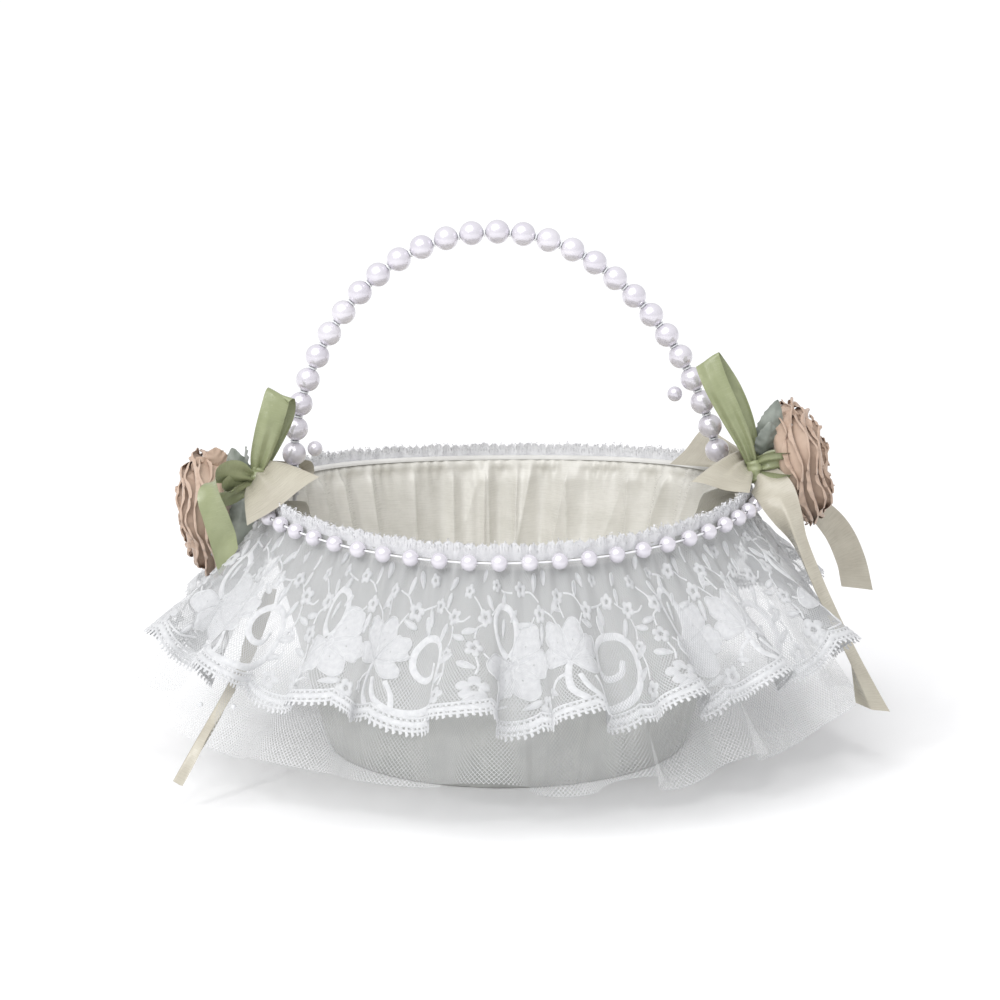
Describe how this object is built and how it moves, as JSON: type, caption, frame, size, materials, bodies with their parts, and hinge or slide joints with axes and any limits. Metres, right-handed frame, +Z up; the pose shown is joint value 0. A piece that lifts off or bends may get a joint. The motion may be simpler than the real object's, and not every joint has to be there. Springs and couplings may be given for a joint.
{
  "type": "flower girl basket",
  "caption": "Round satin-covered basket with gathered lining, lace and tulle ruffles, pearl rim, beaded swing handle, ribbon bows and fabric roses.",
  "frame": {"origin": "centre of the basket's underside, on the surface it stands on", "axes": "+Z up along the bucket's axis; the handle arch lies in the X-Z plane; -Y is the front"},
  "size_m": [0.3086, 0.3086, 0.2151],
  "materials": {
    "cover_satin": "smooth pale grey-white satin",
    "lining_satin": "gathered ivory satin",
    "board": "grey-brown pasteboard",
    "lace": "white floral lace on net",
    "tulle": "sheer white tulle",
    "pearl": "pearl lacquer on plastic beads",
    "thread": "white stringing thread",
    "spacer": "small clear spacer beads",
    "wire": "bright drawn wire and crimps",
    "eyelet_metal": "plated eyelet",
    "rose_fabric": "dusty pink gathered fabric",
    "leaf_fabric": "silver-green leaf cloth",
    "dew_bead": "small clear iridescent beads",
    "green_ribbon": "sage green satin ribbon",
    "cream_ribbon": "cream satin ribbon"
  },
  "bodies": {
    "root": {"base_cover": "cover_satin", "base_board": "board", "wall_board": "board", "outer_cover": "cover_satin", "lining": "lining_satin", "floor_lining": "lining_satin", "rim_binding": "lining_satin", "lace_heading": "lace", "rim_pearls": "pearl", "rim_thread": "thread", "lace_ruffle": "lace", "tulle_ruffle": "tulle", "left_eyelet": "eyelet_metal", "right_eyelet": "eyelet_metal", "left_rose": "rose_fabric", "right_rose": "rose_fabric", "left_leaves": "leaf_fabric", "right_leaves": "leaf_fabric", "rose_dew_beads": "dew_bead", "left_green_bow": "green_ribbon", "right_green_bow": "green_ribbon", "left_cream_bow": "cream_ribbon", "right_cream_bow": "cream_ribbon", "left_cream_tail": "cream_ribbon", "right_cream_tail": "cream_ribbon", "right_wide_tail": "cream_ribbon", "tulle_seed_beads": "dew_bead"},
    "handle": {"handle_wire": "wire", "handle_pearls": "pearl", "handle_spacers": "spacer", "bead_crimps": "wire", "wire_ferrules": "wire", "garland_end_pearls": "pearl"}
  },
  "joints": [
    {"name": "handle_swing", "type": "hinge", "parent": "root", "child": "handle", "pos_m": [0, 0, 0.088], "axis": [1, 0, 0], "range_deg": [-25, 25]}
  ]
}
